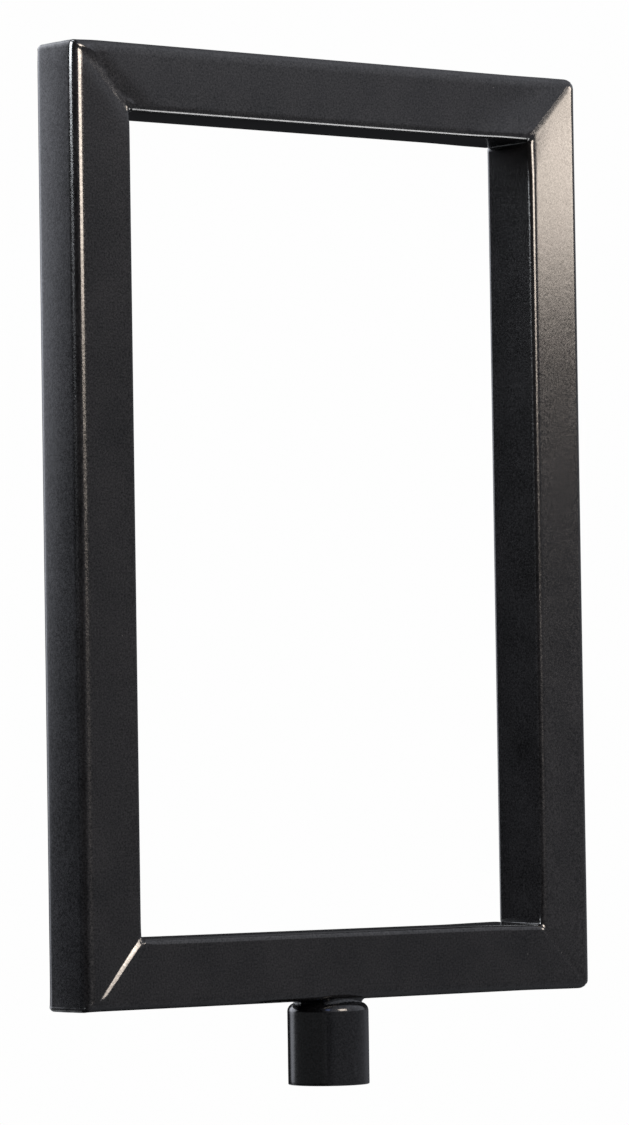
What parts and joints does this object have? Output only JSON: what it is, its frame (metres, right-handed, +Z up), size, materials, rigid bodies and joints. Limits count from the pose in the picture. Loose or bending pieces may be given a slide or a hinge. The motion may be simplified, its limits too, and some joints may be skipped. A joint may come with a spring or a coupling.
{
  "type": "post-top sign frame",
  "caption": "Upright window frame of mitred square steel tube, welded over a round socket that drops onto a post stud and is locked by a grub screw.",
  "frame": {"origin": "centre of the socket's open mouth", "axes": "+Z up through the socket into the frame, +X to the viewer's right, -Y the front"},
  "size_m": [0.2286, 0.0291, 0.36],
  "materials": {
    "powder_coat": "satin black powder coat",
    "blackened_steel": "black oxide",
    "white_nylon": "natural nylon"
  },
  "bodies": {
    "frame": {"bottom_rail": "powder_coat", "top_rail": "powder_coat", "left_stile": "powder_coat", "right_stile": "powder_coat", "bottom_left_weld": "powder_coat", "bottom_right_weld": "powder_coat", "top_left_weld": "powder_coat", "top_right_weld": "powder_coat", "post_socket": "powder_coat", "socket_weld": "powder_coat"},
    "screw_travel": {"set_screw_tip": "white_nylon"},
    "screw": {"set_screw": "blackened_steel"}
  },
  "joints": [
    {"name": "screw_advance", "type": "slide", "parent": "frame", "child": "screw_travel", "axis": [0, -1, 0], "range_m": [-0.00254, 0.00051]},
    {"name": "screw_turn", "type": "hinge", "parent": "screw_travel", "child": "screw", "pos_m": [0, 0.0125, 0.012], "axis": [0, -1, 0], "range_deg": [-724, 148]}
  ],
  "couplings": [
    {"joint": "screw_turn", "follows": "screw_advance", "rad_per_m": 4947.4}
  ]
}
